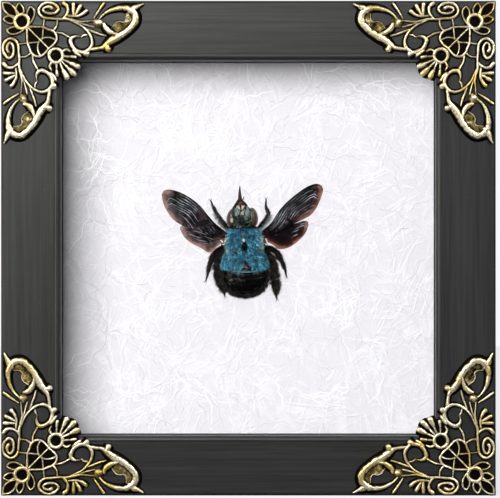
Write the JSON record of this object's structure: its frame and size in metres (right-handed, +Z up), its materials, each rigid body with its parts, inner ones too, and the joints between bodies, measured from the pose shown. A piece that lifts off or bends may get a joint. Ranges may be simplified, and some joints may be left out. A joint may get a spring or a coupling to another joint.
{
  "type": "framed blue carpenter bee",
  "caption": "Dried blue carpenter bee on white textured paper in a square glazed shadow box, with openwork brass ornaments on the corners of its dark painted frame.",
  "frame": {"origin": "middle of the footprint, on the surface that the bottom rail stands on", "axes": "+Z up, +X to the viewer's right, and the glass faces -Y"},
  "size_m": [0.15, 0.0298, 0.15],
  "materials": {
    "charcoal_painted_wood": "charcoal paint, satin, faintly brushed along each rail",
    "glass": "clear, polished",
    "black_painted_wood": "matt black paint",
    "white_fibre_paper": "white, embossed with random fibres",
    "fibreboard": "bare brown fibreboard",
    "zinc_plated_steel": "zinc plated",
    "antique_brass": "antique brass, bright on the high edges and dark olive in the hollows",
    "blue_hair": "short dense blue hair",
    "grey_haired_face": "grey-green hair over dark chitin, with dull brown eyes",
    "black_chitin": "glossy black chitin with black hair at its edges",
    "smoky_wing": "smoky membrane with a violet sheen and red-brown edges"
  },
  "bodies": {
    "root": {"frame_rail_bottom": "charcoal_painted_wood", "frame_rail_left": "charcoal_painted_wood", "frame_rail_top": "charcoal_painted_wood", "frame_rail_right": "charcoal_painted_wood", "glass_pane": "glass", "spacer_bottom": "black_painted_wood", "spacer_left": "black_painted_wood", "spacer_top": "black_painted_wood", "spacer_right": "black_painted_wood", "backing_paper": "white_fibre_paper", "backing_board": "fibreboard", "board_tab_bottom": "zinc_plated_steel", "board_tab_left": "zinc_plated_steel", "board_tab_top": "zinc_plated_steel", "board_tab_right": "zinc_plated_steel", "hanging_plate": "zinc_plated_steel", "corner_ornament_top_left": "antique_brass", "corner_ornament_top_right": "antique_brass", "corner_ornament_bottom_right": "antique_brass", "corner_ornament_bottom_left": "antique_brass", "bee_thorax": "blue_hair", "bee_head": "grey_haired_face", "bee_tongue": "black_chitin", "bee_abdomen": "black_chitin", "bee_forewing_left": "smoky_wing", "bee_hindwing_left": "smoky_wing", "bee_forewing_right": "smoky_wing", "bee_hindwing_right": "smoky_wing", "bee_front_leg_left": "black_chitin", "bee_front_leg_right": "black_chitin", "bee_middle_leg_left": "black_chitin", "bee_middle_leg_right": "black_chitin", "bee_hind_leg_left": "black_chitin", "bee_hind_leg_right": "black_chitin"}
  },
  "joints": []
}
